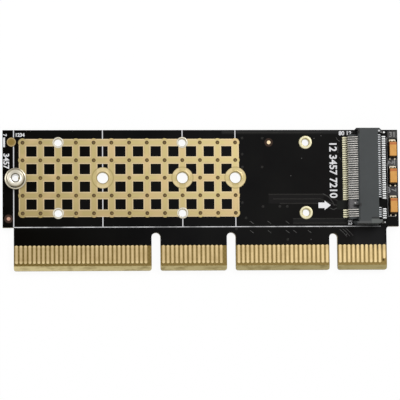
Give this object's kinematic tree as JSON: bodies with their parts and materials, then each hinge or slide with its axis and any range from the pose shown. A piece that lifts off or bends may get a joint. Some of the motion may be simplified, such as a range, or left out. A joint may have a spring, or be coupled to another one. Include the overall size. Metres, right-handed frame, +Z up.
{
  "type": "nvme adapter card",
  "caption": "Flat edge-connector adapter card with a module socket, a soldered standoff, a bare gold ground grid with mounting holes, and gold contacts along a notched tongue.",
  "frame": {"origin": "middle of the card's outline, on the plane of the rear contacts that it rests on", "axes": "+X along the edge connector towards the module socket, +Y from the edge contacts to the free long edge, +Z up out of the component face"},
  "size_m": [0.0896, 0.0318, 0.0058],
  "materials": {
    "laminate": "satin black solder mask over glass laminate",
    "grid_gold": "matt immersion gold",
    "contact_gold": "satin gold plate",
    "ring_gold": "satin gold",
    "standoff_tin": "turned, tin plated",
    "socket_plastic": "moulded, fine matt",
    "contact_tin": "stamped and plated",
    "capacitor_mould": "moulded epoxy",
    "terminal_tin": "tin plated",
    "legend_ink": "matt printed ink",
    "mark_copper": "satin"
  },
  "bodies": {
    "root": {"circuit_board": "laminate", "front_ground_grid": "grid_gold", "front_contacts_1_to_11": "contact_gold", "front_contacts_12_to_32": "contact_gold", "front_contacts_36_to_49": "contact_gold", "front_contacts_53_to_82": "contact_gold", "rear_contacts_1_to_11": "contact_gold", "rear_contacts_12_to_32": "contact_gold", "rear_contacts_36_to_49": "contact_gold", "rear_contacts_53_to_82": "contact_gold", "outer_hole_rings": "ring_gold", "module_standoff": "standoff_tin", "socket_housing": "socket_plastic", "socket_cover": "socket_plastic", "socket_lower_contacts": "contact_tin", "socket_upper_contacts": "contact_tin", "socket_solder_tabs": "terminal_tin", "capacitor_body_one": "capacitor_mould", "capacitor_terminals_one": "terminal_tin", "capacitor_body_two": "capacitor_mould", "capacitor_terminals_two": "terminal_tin", "capacitor_body_three": "capacitor_mould", "capacitor_terminals_three": "terminal_tin", "fiducials": "mark_copper", "round_pad": "grid_gold", "front_legend": "legend_ink"}
  },
  "joints": []
}
